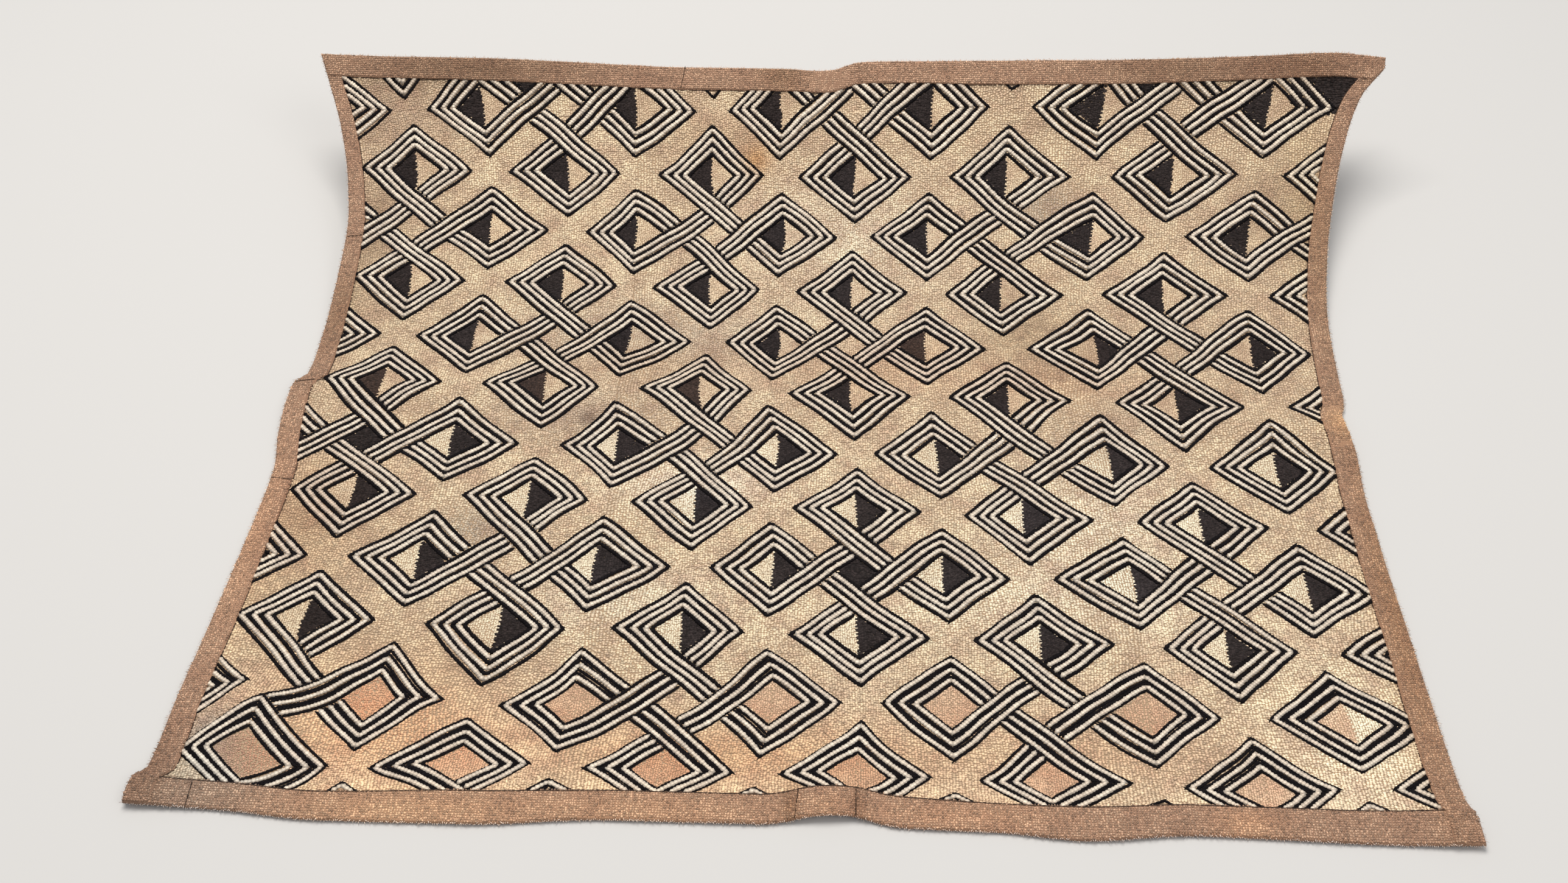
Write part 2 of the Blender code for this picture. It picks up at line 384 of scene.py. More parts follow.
def chart(u, v):
    """x and s of a place in the pattern, u half pitches from the middle and v rows from the first full one."""
    table = np.array(PATTERN_ROWS, float) * MM
    row = v - FIRST_ROW
    x_rows = np.array([read_evenly(line[:len(X_COLUMNS)], steps_along(X_COLUMNS, u)) for line in table])
    s_rows = np.array([read_evenly(line[len(X_COLUMNS):], steps_along(S_COLUMNS, u)) for line in table])
    x, s = read_evenly(x_rows, row), read_evenly(s_rows, row)
    x, s = x + wander(x, s, 0.0), s + wander(x, s, 2.0)
    for _, at_u, at_v, reach, to_x, to_s in NUDGES:
        strength = np.exp(-((u - at_u) ** 2 + (v - at_v) ** 2) / reach ** 2) * MM
        x, s = x + to_x * strength, s + to_s * strength
    return x, s


def edges(x, s):
    """Distance in from the left, right, front and back edges, each with the width of its hem."""
    left, right, left_hem, right_hem = (column(SIDES, s, wanted) for wanted in (1, 2, 3, 4))
    front, back, front_hem, back_hem = (column(ENDS, x, wanted) for wanted in (1, 2, 3, 4))
    return (x - left, left_hem), (right - x, right_hem), (s - front, front_hem), (back - s, back_hem)


def inside_hems(x, s, margin=0.0):
    """True where a place lies inside all four hems, by at least the margin."""
    return np.all([distance - width > margin for distance, width in edges(x, s)], axis=0)


def curl(s):
    """Distance back from the front edge, height and slope at s, for a slope that grows steadily."""
    bend = np.maximum(s - CURL_START, 0.0)
    rate = CURL_END_SLOPE / (CURL_END - CURL_START)
    step = bend / CURL_STEPS
    back = np.minimum(s, CURL_START)
    up = np.zeros_like(back)
    for count in range(CURL_STEPS):
        slope = (count + 0.5) * step * rate
        back = back + np.cos(slope) * step
        up = up + np.sin(slope) * step
    return back, up, bend * rate


def fold_height(x, s):
    """Height that the folds add to the sheet at x, s. Where ridges meet, the higher one counts."""
    ridge = np.zeros_like(x)
    trough = np.zeros_like(x)
    for _, x0, s0, x1, s1, half_width, first, second in FOLDS:
        from_x, from_s = x - x0 * MM, s - s0 * MM
        line_x, line_s = (x1 - x0) * MM, (s1 - s0) * MM
        along = np.clip((from_x * line_x + from_s * line_s) / (line_x ** 2 + line_s ** 2), 0.0, 1.0)
        away = np.hypot(from_x - along * line_x, from_s - along * line_s) / (half_width * MM)
        height = (first + (second - first) * along) * MM * (1.0 - np.minimum(away, 1.0) ** 2) ** 2
        ridge = np.maximum(ridge, height)
        trough = np.minimum(trough, height)
    return ridge + trough


# Slow rise and fall of the cloth between its folds.
# Columns: wavelength across and along the cloth in mm, and where in the wave it starts.
RIPPLES = ((97, 260, 0.3), (-61, 88, 1.9), (210, -73, 4.1), (43, 51, 2.6))


def ripple(x, s, depth):
    """Height between zero and the depth."""
    waves = [np.sin(2 * np.pi * (x / (across * MM) + s / (along * MM)) + start)
             for across, along, start in RIPPLES]
    return depth * (0.5 + 0.5 * np.sum(waves, axis=0) / len(RIPPLES))


def lay(x, s, h):
    """World places of points h above the cloth's underside at x, s."""
    back, up, slope = curl(s)
    lift = fold_height(x, s) + ripple(x, s, bpy.context.scene.kuba_cloth.unevenness) + h
    middle_x, middle_y = cloth_middle()
    return np.column_stack((x - middle_x, back - lift * np.sin(slope) - middle_y, up + lift * np.cos(slope)))


def cloth_middle():
    """Middle of the box of the sheet's underside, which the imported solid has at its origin."""
    sides = np.array(SIDES, float)[:, 0] * MM
    x = np.concatenate((column(SIDES, sides, 1), column(SIDES, sides, 2)))
    across = np.linspace(x.min(), x.max(), 200)
    back_s = column(ENDS, across, 2)
    back = curl(back_s)[0] - fold_height(across, back_s) * np.sin(curl(back_s)[2])
    front = column(ENDS, across, 1)
    return (x.min() + x.max()) / 2, (front.min() + back.max()) / 2


def tint_at(x, s, patches):
    """Red, green and blue factors of soft patches at each place."""
    tint = np.ones((len(x), 3))
    for _, middle_x, middle_s, reach_x, reach_s, *colour in patches:
        away = ((x / MM - middle_x) / reach_x) ** 2 + ((s / MM - middle_s) / reach_s) ** 2
        strength = np.exp(-away)[:, None]
        tint *= 1 + (np.array(colour) - 1) * strength
    return tint


def give_look(mesh, x, s, shade, material, patches):
    """Gives a flat mesh its tint, its map by x and s, and its material."""
    tint = tint_at(x, s, patches) * (1 + shade[:, None])
    colours = mesh.attributes.new("tint", 'FLOAT_COLOR', 'POINT')
    colours.data.foreach_set("color", np.column_stack((tint, np.ones(len(x)))).ravel())
    corners = np.empty(len(mesh.loops), int)
    mesh.loops.foreach_get("vertex_index", corners)
    flat_map = mesh.uv_layers.new(name="OFBake")
    uv = np.column_stack((x - x.min(), s - s.min()))
    flat_map.data.foreach_set("uv", (uv / uv.max())[corners].ravel())
    mesh.materials.clear()
    mesh.materials.append(material)


def flat_points(mesh):
    """x, s and h of a mesh's vertices, before it is laid."""
    places = np.empty(len(mesh.vertices) * 3)
    mesh.vertices.foreach_get("co", places)
    return places.reshape(-1, 3).T


def lay_mesh(mesh, material, shades=0.0, patches=STAINS_AND_PAINTED_SHADE):
    """Lays a flat mesh on the cloth and gives it its look. Its grains differ by up to this share in shade."""
    x, s, h = flat_points(mesh)
    shade = np.zeros(len(x))
    if "shade" in mesh.attributes:
        mesh.attributes["shade"].data.foreach_get("value", shade)
    give_look(mesh, x, s, shade * shades, material, patches)
    mesh.vertices.foreach_set("co", lay(x, s, h).ravel())
    mesh.update()


def new_object(name, mesh):
    thing = bpy.data.objects.new(name, mesh)
    bpy.context.scene.collection.objects.link(thing)
    return thing


def finish_piece(piece):
    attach(piece, "root")
    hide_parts("raffia_cloth")


def feed(tree, socket, value):
    """Links a socket's value, or sets it where it is a plain one."""
    if isinstance(value, bpy.types.NodeSocket):
        tree.links.new(value, socket)
    else:
        socket.default_value = value


def add_node(tree, kind, inputs=(), **settings):
    """Adds a node with its settings, then feeds its inputs, each by its name or its number."""
    node = tree.nodes.new(kind)
    for setting, value in settings.items():
        setattr(node, setting, value)
    for key, value in dict(inputs).items():
        feed(tree, node.inputs[key], value)
    return node


def calc(tree, operation, *values):
    """One Math node. Each value is a number or a socket."""
    return add_node(tree, "ShaderNodeMath", dict(enumerate(values)), operation=operation).outputs[0]


def noise(tree, place, size, detail, roughness):
    """A cloudy texture whose patches are about this large."""
    inputs = {"Vector": place, "Scale": 1 / size, "Detail": detail, "Roughness": roughness}
    return add_node(tree, "ShaderNodeTexNoise", inputs).outputs["Fac"]


# Size of the larger patches in which the raffia's colour changes.
PATCH_SIZE = 17 * MM

# How strongly the fibres and the crossings of the weave show, in the relief and in the colour. In the colour,
# the crossings get painted light and the gaps between them painted shade.
BUMP_STRENGTH = 0.6
FIBRE_CONTRAST = 1.4
FIBRE_RELIEF = 0.5
CROSSING_RELIEF = 0.8
CROSSING_PAINTED_LIGHT = -0.35
GAP_PAINTED_SHADE = 0.2
WARP_COLOUR = 0.08

# Finishes of the raffia.
# Columns: material, its own colour, the share of it that is used, the other colour of its fibres or their
# share of the same colour, size of the fibres in mm, roughness, relief in mm, gloss and mottling.
FINISHES = {
    "woven_raffia": ("ground", 1.0, 0.62, 0.9, 0.85, 0.5, 0.2, 1.6),
    "hem_raffia": ("hem", 0.9, 0.65, 0.9, 0.88, 0.5, 0.2, 1.6),
    "cream_raffia": ("cream", 1.0, (0.58, 0.46, 0.36), 0.8, 0.75, 0.2, 0.2, 1.6),
    "black_raffia": ("black", 1.0, 2.2, 0.8, 0.8, 0.2, 0.03, 1.6),
    "tan_pile": ("tan", 1.0, (0.60, 0.42, 0.285), 1.1, 0.9, 0.2, 0.2, 3.0),
    "pale_pile": ("pale", 1.0, (0.72, 0.57, 0.40), 1.1, 0.9, 0.2, 0.2, 1.6),
    "worn_pile": ("worn", 1.0, (0.74, 0.52, 0.345), 1.1, 0.9, 0.2, 0.2, 3.0),
    "black_pile": ("black_pile", 1.0, 2.0, 1.1, 0.9, 0.2, 0.05, 1.6),
    "faded_pile": ("faded", 1.0, (0.045, 0.03, 0.025), 1.1, 0.9, 0.25, 0.06, 1.6),
    "hem_thread": ("hem", 1.0, (0.58, 0.37, 0.24), 1.5, 0.9, 0.3, 0.2, 4.0),
    "hem_fuzz": ("fuzz", 1.0, (0.72, 0.60, 0.52), 2.0, 0.9, 0.1, 0.2, 1.6),
    # The dark thread's finish is also painted shadow along the hems' inner edges.
    "sewing_thread": ("sewing", 1.0, (0.10, 0.06, 0.04), 1.0, 0.8, 0.1, 0.1, 1.6),
}


def shaded(colour, share):
    return tuple(channel * share for channel in colour)


def raffia_material(name, weave_pitch=None):
    """Raffia whose fibres vary between two colours, times the tint that each piece carries.

    With a weave pitch, it also has the threads of a plain weave, with painted light on their crossings and
    painted shade in the gaps between them."""
    dye, share, other, fibre_size, roughness, relief, gloss, mottling = FINISHES[name]
    dyed = getattr(bpy.context.scene.kuba_colours, dye)
    if not isinstance(other, tuple):
        other = shaded(dyed, other)
    material = bpy.data.materials.new(name)
    material.use_nodes = True
    tree = material.node_tree
    finish = tree.nodes["Principled BSDF"].inputs
    finish["Roughness"].default_value = roughness
    finish["Specular IOR Level"].default_value = gloss
    finish["Sheen Weight"].default_value = gloss / 3
    finish["Sheen Roughness"].default_value = 0.5

    place = add_node(tree, "ShaderNodeTexCoord").outputs["Object"]
    fibres = noise(tree, place, fibre_size * MM, 3.0, 0.6)
    patches = noise(tree, place, PATCH_SIZE, 5.0, 0.7)
    mixing = calc(tree, 'MULTIPLY_ADD', fibres, FIBRE_CONTRAST, (1 - FIBRE_CONTRAST) / 2)
    mixing = calc(tree, 'MULTIPLY_ADD', patches, mottling, calc(tree, 'SUBTRACT', mixing, mottling / 2))
    height = fibres

    if weave_pitch:
        cloth_map = add_node(tree, "ShaderNodeUVMap", uv_map="weave").outputs["UV"]
        split = add_node(tree, "ShaderNodeSeparateXYZ", {0: cloth_map}).outputs
        warp, weft = (calc(tree, 'SINE', calc(tree, 'MULTIPLY', split[axis], np.pi / weave_pitch))
                      for axis in "XY")
        over = calc(tree, 'MULTIPLY', warp, weft)
        crossing = calc(tree, 'ABSOLUTE', over)
        fibre_height = calc(tree, 'MULTIPLY', fibres, FIBRE_RELIEF)
        height = calc(tree, 'MULTIPLY_ADD', crossing, CROSSING_RELIEF, fibre_height)
        # Painted light on the weave's crossings and painted shade in the gaps between them.
        mixing = calc(tree, 'ADD', mixing, calc(tree, 'MULTIPLY_ADD', crossing, CROSSING_PAINTED_LIGHT, GAP_PAINTED_SHADE))
        mixing = calc(tree, 'MULTIPLY_ADD', over, WARP_COLOUR, mixing)

    own = {"Factor": mixing, "A": (*shaded(dyed, share), 1), "B": (*other, 1)}
    own_colour = add_node(tree, "ShaderNodeMix", own, data_type='RGBA', clamp_factor=True).outputs["Result"]
    tint = add_node(tree, "ShaderNodeAttribute", attribute_name="tint").outputs["Color"]
    tinted = add_node(tree, "ShaderNodeMix", {"Factor": 1.0, "A": own_colour, "B": tint}, data_type='RGBA',
                      blend_type='MULTIPLY')
    feed(tree, finish["Base Color"], tinted.outputs["Result"])
    surface = {"Strength": BUMP_STRENGTH, "Distance": relief * MM, "Height": height}
    feed(tree, finish["Normal"], add_node(tree, "ShaderNodeBump", surface).outputs["Normal"])
    return material


# Lines of the sheet in each hem, as shares of the hem and distances from its outer edge in mm.
HEM_LINES = ((0.0, 0.0), (0.0, 0.35), (0.0, 1.2), (0.5, 0.0), (1.0, -1.0), (1.0, -0.3), (1.0, 0.3))
COLUMNS_BETWEEN_HEMS = 130
ROWS_BETWEEN_HEMS = 108
EDGE_ROUNDING = 1.2 * MM
HEM_STEP = 0.6 * MM

# Rounds that fit the sheet's lines to its curved edges, and the share of a face from which it is hem.
SHEET_ROUNDS = 6
HEM_FACE = 0.4

# The hems' coarse threads start this far inside the outer edge, and stop at this share of the inner step.
HEM_RIM = 0.5 * MM
THREADS_FROM = 0.9


def sheet_lines(count):
    """For each grid line: its shares of the near edge, near hem, far edge and far hem, and its distance."""
    near = [(1, share, 0, 0, distance * MM) for share, distance in HEM_LINES]
    far = [(0, 0, 1, -share, -distance * MM) for share, distance in reversed(HEM_LINES)]
    last = HEM_LINES[-1][1] * MM
    between = [(1 - t, 1 - t, t, -t, last * (1 - 2 * t)) for t in np.linspace(0, 1, count + 1)[1:-1]]
    return np.array(near + between + far)


def line_place(line, near, near_hem, far, far_hem):
    return line[:, 0] * near + line[:, 1] * near_hem + line[:, 2] * far + line[:, 3] * far_hem + line[:, 4]


def step_down(distance, width):
    """One in the hem, falling smoothly to zero at its inner edge."""
    t = np.clip((distance - width) / HEM_STEP + 0.5, 0, 1)
    return 1 - t * t * (3 - 2 * t)


def surface_heights(x, s, sizes):
    """Heights of the sheet's lower and upper side at each place, and how far it lies in a hem."""
    (left, left_hem), (right, right_hem), (front, front_hem), (back, back_hem) = edges(x, s)
    side = np.maximum(step_down(left, left_hem), step_down(right, right_hem))
    end = np.maximum(step_down(front, front_hem), step_down(back, back_hem))
    fold = sizes.hem_thickness - sizes.weave_thickness
    corner = sizes.corner_thickness - sizes.hem_thickness
    top = sizes.weave_thickness + fold * np.maximum(side, end) + corner * np.minimum(side, end)
    nearest = np.clip(np.minimum(np.minimum(left, right), np.minimum(front, back)) / EDGE_ROUNDING, 0, 1)
    rounding = np.sqrt(1 - (1 - nearest) ** 2)
    middle = sizes.hem_thickness / 2
    return middle * (1 - rounding), middle + (top - middle) * rounding, np.maximum(side, end)


class KUBA_OT_panel(bpy.types.Operator):
    """Makes the woven panel with its four folded hems, as one closed sheet"""

    bl_idname = "kuba.panel"
    bl_label = "Woven Panel and Hems"

    def execute(self, context):
        sizes = context.scene.kuba_cloth
        columns = sheet_lines(COLUMNS_BETWEEN_HEMS)
        rows = sheet_lines(ROWS_BETWEEN_HEMS)
        i, j = (grid.ravel() for grid in np.meshgrid(np.arange(len(columns)), np.arange(len(rows))))
        x = np.zeros(len(i))
        s = rows[j, 2] * CURL_END
        for _ in range(SHEET_ROUNDS):
            x = line_place(columns[i], *(column(SIDES, s, wanted) for wanted in (1, 3, 2, 4)))
            s = line_place(rows[j], *(column(ENDS, x, wanted) for wanted in (1, 3, 2, 4)))
        low, high, hem = surface_heights(x, s, sizes)

        rim = (i == 0) | (j == 0) | (i == len(columns) - 1) | (j == len(rows) - 1)
        under = np.where(rim, np.arange(len(i)), len(i) + np.cumsum(~rim) - 1)
        corner = np.arange(len(i)).reshape(len(rows), len(columns))
        near, far = corner[:-1], corner[1:]
        round_face = (near[:, :-1], near[:, 1:], far[:, 1:], far[:, :-1])
        upper = np.column_stack([part.ravel() for part in round_face])
        faces = np.concatenate((upper, under[upper[:, ::-1]]))
        x = np.concatenate((x, x[~rim]))
        s = np.concatenate((s, s[~rim]))
        h = np.concatenate((high, low[~rim]))
        in_hem = np.concatenate((hem, hem[~rim]))

        mesh = bpy.data.meshes.new("woven_panel")
        mesh.from_pydata(np.column_stack((x, s, h)), [], faces.tolist())
        weave = mesh.uv_layers.new(name="weave")
        weave.data.foreach_set("uv", np.column_stack((x, s))[faces.ravel()].ravel())
        lay_mesh(mesh, raffia_material("woven_raffia", sizes.thread_pitch))
        mesh.materials.append(raffia_material("hem_raffia", sizes.thread_pitch))
        folded = (in_hem[faces].mean(axis=1) > HEM_FACE).astype(int)
        mesh.polygons.foreach_set("material_index", folded)
        mesh.shade_smooth()
        finish_piece(new_object("woven_panel", mesh))
        return {'FINISHED'}


def loop_stripes(row):
    """Radius, width and dye of each row of stitches in a band round a diamond of this row."""
    share = BLACK_SHARE[int(np.clip(row - FIRST_ROW, 0, len(BLACK_SHARE) - 1))]
    band = FRONT_BAND if row >= FIRST_DOUBLE_ROW else BAND
    black = (RING - CORE) * share / (band.count("B") - 1 + EDGE_WIDTH)
    cream = (RING - CORE) * (1 - share) / band.count("C")
    stripes = []
    at = CORE
    for count, dye in enumerate(band, 1):
        width = cream if dye == "C" else black
        if count == len(band):
            width *= EDGE_WIDTH
        stripes.append((at + width / 2, width, dye == "B"))
        at += width
    return stripes


# The four loops of a knot: how many quarter turns each has, and how many rows its diamond lies from the knot.
LOOPS = ((0, 0), (1, 1), (2, 0), (3, -1))
SAMPLES_A_PITCH = 24

# How far the middle of a row's last stitch stays from a corner, and from the band that it goes under.
CORNER_GAP = 0.045
UNDER_GAP = 0.06

# Loops that close round their diamond, without reaching into the knot, for the middle of each such knot.
CLOSED_LOOPS = {(-6, 10): (1, 2), (6, 6): (0, 1, 2, 3), (6, 10): (0, 1, 2, 3)}

# How far a row sways from its plan at most, as a shift and as a bow, in half pitches.
ROW_SHIFT = 0.006
ROW_BOW = 0.012
HAND_SEED = 3


def turned(p, q, turns):
    for _ in range(turns):
        p, q = -q, p
    return p, q


def knots():
    """Middles of the knots, in half pitches and rows."""
    for j in range(-2, FRONT_KNOT_ROW + 1, 2):
        for i in range(-LAST_KNOT, LAST_KNOT + 1, 2):
            if i % KNOT_PERIOD == j % KNOT_PERIOD and (i, j) != MISSING_KNOT:
                yield i, j


def stitch_guides():
    """Straight runs of the stripes: u, v, run number, width in half pitches and dye of each sample."""
    random = np.random.default_rng(HAND_SEED)
    parts = []
    run = 0
    for i, j in knots():
        for turns, to_j in LOOPS:
            for radius, width, is_black in loop_stripes(j + to_j):
                near, far = 1 - radius, 1 + radius
                start, end = (UNDER_END, -near), (near, OPENING)
                closed = turns in CLOSED_LOOPS.get((i, j), ())
                if closed:
                    start = end = (near, -near)
                corners = [start, (far, -near), (far, -far), (near, -far), end]
                for count in range(4):
                    first = np.array(corners[count])
                    second = np.array(corners[count + 1])
                    length = np.abs(second - first).sum()
                    step = (second - first) / length
                    first = first + step * (UNDER_GAP if count == 0 and not closed else CORNER_GAP)
                    second = second - step * (UNDER_GAP if count == 3 and not closed else CORNER_GAP)
                    samples = max(int(length * SAMPLES_A_PITCH), 3)
                    t = np.linspace(0, 1, samples)[:, None]
                    shift, bow = random.uniform(-1, 1, 2) * (ROW_SHIFT, ROW_BOW)
                    sway = (shift + bow * np.sin(np.pi * t)) * step[::-1]
                    p, q = turned(*(first + (second - first) * t + sway).T, turns)
                    u, v = (p - q) / 2 + i, (p + q) / 2 + j
                    run += 1
                    parts.append(np.column_stack((u, v, np.full(samples, run), np.full(samples, width),
                                                  np.full(samples, is_black))))
    return np.concatenate(parts)


# Metres that one half pitch measures along a lane, used to turn pattern widths into real ones.
LANE_UNIT = 30.4 * MM


def joined_runs(run, keep):
    """Edges between neighbours of one run that are both kept, by their numbers among the kept."""
    number = np.cumsum(keep) - 1
    pair = keep[:-1] & keep[1:] & (run[:-1] == run[1:])
    first = number[:-1][pair]
    return np.column_stack((first, first + 1))


def new_tree(name, *sizes):
    """A tree for grains of raffia, and its inputs: the guides, its named sizes, a seed and a finish."""
    tree = bpy.data.node_groups.new(name, 'GeometryNodeTree')
    inputs = {"Geometry": 'Geometry'} | dict.fromkeys(sizes, 'Float') | {"Seed": 'Int', "Finish": 'Material'}
    for label, kind in inputs.items():
        tree.interface.new_socket(label, in_out='INPUT', socket_type='NodeSocket' + kind)
    tree.interface.new_socket("Geometry", in_out='OUTPUT', socket_type='NodeSocketGeometry')
    return tree, add_node(tree, "NodeGroupInput").outputs


def random_share(tree, seed, add):
    """A random number from -1 to 1 for each stitch or tuft."""
    inputs = {2: -1.0, 3: 1.0, "Seed": calc(tree, 'ADD', seed, add)}
    return add_node(tree, "FunctionNodeRandomValue", inputs, data_type='FLOAT').outputs[1]


def uneven(tree, size, unevenness, seed, add):
    """A size times one plus or minus a random share of it."""
    change = calc(tree, 'MULTIPLY_ADD', random_share(tree, seed, add), unevenness, 1.0)
    return calc(tree, 'MULTIPLY', size, change)


def vector(tree, *values):
    return add_node(tree, "ShaderNodeCombineXYZ", dict(enumerate(values))).outputs[0]


def named_number(tree, name):
    return add_node(tree, "GeometryNodeInputNamedAttribute", {"Name": name}, data_type='FLOAT').outputs[0]


def place_grains(tree, given, points, angle, sizes, shares):
    """Puts a small closed shape on each point, with a random shade, and makes plain geometry of it all.

    From its middle it reaches out by these shares of the sizes, each a little uneven."""
    seed = given["Seed"]
    scale = [calc(tree, 'MULTIPLY', uneven(tree, size, given["Unevenness"], seed, add), share)
             for add, (size, share) in enumerate(zip(sizes, shares), 2)]
    ball = add_node(tree, "GeometryNodeMeshUVSphere", {"Segments": 3, "Rings": 2, "Radius": 1.0}).outputs[0]
    shape = add_node(tree, "GeometryNodeTransform", {0: ball, "Rotation": (0, np.pi / 2, 0)}).outputs[0]
    put = {"Points": points, "Instance": shape, "Rotation": vector(tree, 0.0, 0.0, angle),
           "Scale": vector(tree, *scale)}
    grains = add_node(tree, "GeometryNodeInstanceOnPoints", put).outputs[0]
    shade = {"Geometry": grains, "Name": "shade", "Value": random_share(tree, seed, 11)}
    stored = add_node(tree, "GeometryNodeStoreNamedAttribute", shade, data_type='FLOAT', domain='INSTANCE')
    grains = add_node(tree, "GeometryNodeRealizeInstances", {0: stored.outputs[0]}).outputs[0]
    finish = {"Geometry": grains, "Material": given["Finish"]}
    add_node(tree, "NodeGroupOutput", {0: add_node(tree, "GeometryNodeSetMaterial", finish).outputs[0]})


# A stem stitch reaches this share of its row's width to each side, so that neighbours overlap.
STITCH_REACH = 0.72


def stem_stitch_tree():
    """Slanting stitches that overlap along each guide line, as wide as the guide says."""
    tree, given = new_tree("stem_stitches", "Stitch Pitch", "Stitch Length", "Stitch Height", "Slant",
                           "Unevenness")
    line = add_node(tree, "GeometryNodeMeshToCurve", {0: given["Geometry"]}).outputs[0]
    dots = add_node(tree, "GeometryNodeCurveToPoints", {0: line, "Length": given["Stitch Pitch"]},
                    mode='LENGTH').outputs
    split = add_node(tree, "ShaderNodeSeparateXYZ", {0: dots["Tangent"]}).outputs
    slant = uneven(tree, given["Slant"], calc(tree, 'MULTIPLY', given["Unevenness"], 2.0), given["Seed"], 1)
    angle = calc(tree, 'ADD', calc(tree, 'ARCTAN2', split["Y"], split["X"]), slant)
    sizes = (given["Stitch Length"], named_number(tree, "stripe_width"), given["Stitch Height"])
    place_grains(tree, given, dots["Points"], angle, sizes, (0.5, STITCH_REACH, 0.5))
    return tree


def tuft_tree():
    """A small tuft on each point, turned as the point says."""
    tree, given = new_tree("tufts", "Tuft Length", "Tuft Width", "Tuft Height", "Turning", "Unevenness")
    turn = random_share(tree, given["Seed"], 1)
    angle = calc(tree, 'MULTIPLY_ADD', turn, given["Turning"], named_number(tree, "row_angle"))
    sizes = (given["Tuft Length"], given["Tuft Width"], given["Tuft Height"])
    place_grains(tree, given, given["Geometry"], angle, sizes, (0.5, 0.5, 0.5))
    return tree


def grow(name, tree, settings, points, numbers, finish, shades, edge_pairs=(), patches=STAINS_AND_PAINTED_SHADE):
    """Runs a tree on flat guide points, makes a plain mesh of the result, and lays it on the cloth."""
    material = bpy.data.materials.get(finish) or raffia_material(finish)
    settings = settings | {"Finish": material}
    mesh = bpy.data.meshes.new(name)
    mesh.from_pydata(points, edge_pairs, [])
    for number, values in numbers.items():
        mesh.attributes.new(number, 'FLOAT', 'POINT').data.foreach_set("value", values)
    piece = new_object(name, mesh)
    modifier = piece.modifiers.new(tree.name, 'NODES')
    modifier.node_group = tree
    for item in tree.interface.items_tree:
        if item.item_type == 'SOCKET' and item.in_out == 'INPUT' and item.name in settings:
            modifier[item.identifier] = settings[item.name]
    evaluated = piece.evaluated_get(bpy.context.evaluated_depsgraph_get())
    grown = bpy.data.meshes.new_from_object(evaluated)
    piece.modifiers.remove(modifier)
    piece.data = grown
    grown.name = name
    bpy.data.meshes.remove(mesh)
    lay_mesh(grown, material, shades, patches)
    grown.shade_smooth()
    finish_piece(piece)


# The two dyes of the stem stitches.
# Columns: piece, whether it is black, material, how much deeper its stitches lie in mm, and the pitch and
# length of its stitches as a share of the usual.
STEM_STITCHES = (
    ("cream_stitches", 0, "cream_raffia", 0.0, 1.0),
    ("black_stitches", 1, "black_raffia", 0.2, 1.1),
)

# How high the middle of a stitch lies on the weave, as a share of its thickness, how uneven the stitches are
# in size and in shade, and how far they stay from the hems.
STITCH_LIFT = 0.3
STITCH_UNEVENNESS = 0.17
STITCH_SHADES = 0.15
STITCH_MARGIN = 0.3 * MM


class KUBA_OT_embroidery(bpy.types.Operator):
    """Sews the cream and black rows of stem stitch of the knotted bands"""

    bl_idname = "kuba.embroidery"
    bl_label = "Stem Stitch Bands"

    def execute(self, context):
        cloth = context.scene.kuba_cloth
        sizes = context.scene.kuba_stitches
        u, v, run, width, is_black = stitch_guides().T
        x, s = chart(u, v)
        kept = inside_hems(x, s, STITCH_MARGIN)
        tree = stem_stitch_tree()
        for name, dyed, finish, sink, share in STEM_STITCHES:
            keep = kept & (is_black == dyed)
            h = np.full(keep.sum(), cloth.weave_thickness + STITCH_LIFT * sizes.stitch_height - sink * MM)
            grow(name, tree,
                 {"Stitch Pitch": sizes.stitch_pitch * share, "Stitch Length": sizes.stitch_length * share,
                  "Stitch Height": sizes.stitch_height, "Slant": sizes.slant, "Unevenness": STITCH_UNEVENNESS,
                  "Seed": sizes.seed + 40 * dyed},
                 np.column_stack((x[keep], s[keep], h)), {"stripe_width": width[keep] * LANE_UNIT}, finish,
                 STITCH_SHADES, joined_runs(run, keep))
        return {'FINISHED'}


# Map of where rows of stitches run: its cells, how far it reaches past the pattern, and the gap beside a row.
CELL = 0.5 * MM
MAP_EDGE = 10 * MM
PILE_GAP = 0.1 * MM


def covered_by_stripes():
    """A function that tells, from a flat map of the cloth, whether a row of stitches runs over a place."""
    u, v, _, width, _ = stitch_guides().T
    x, s = chart(u, v)
    low_x, low_s = x.min() - MAP_EDGE, s.min() - MAP_EDGE
    size = int((x.max() - low_x + MAP_EDGE) / CELL), int((s.max() - low_s + MAP_EDGE) / CELL)
    covered = np.zeros(size, bool)
    reach = width * LANE_UNIT / 2 + PILE_GAP
    column_of = ((x - low_x) / CELL).astype(int)
    row_of = ((s - low_s) / CELL).astype(int)
    steps = int(reach.max() / CELL) + 1
    for across in range(-steps, steps + 1):
        for along in range(-steps, steps + 1):
            near = np.hypot(across, along) * CELL <= reach
            covered[column_of[near] + across, row_of[near] + along] = True

    def is_covered(at_x, at_s):
        return covered[np.clip((at_x - low_x) / CELL, 0, size[0] - 1).astype(int),
                       np.clip((at_s - low_s) / CELL, 0, size[1] - 1).astype(int)]

    return is_covered


def diamond_near(u, v, j):
    """Column of the diamond of row j that lies nearest to each place, and how far it is."""
    i = 2 * np.rint((u - (j + 1) % 2) / 2) + (j + 1) % 2
    return i, np.abs(u - i) + np.abs(v - j)


def nearest_diamond(u, v):
    """Column and row of the diamond nearest each place, and the place from its middle."""
    j = np.rint(v)
    i, near = diamond_near(u, v, j)
    for other_j in (np.rint(v) - 1, np.rint(v) + 1):
        other_i, other = diamond_near(u, v, other_j)
        closer = other < near
        i, j, near = np.where(closer, other_i, i), np.where(closer, other_j, j), np.where(closer, other, near)
    return i, j, u - i, v - j


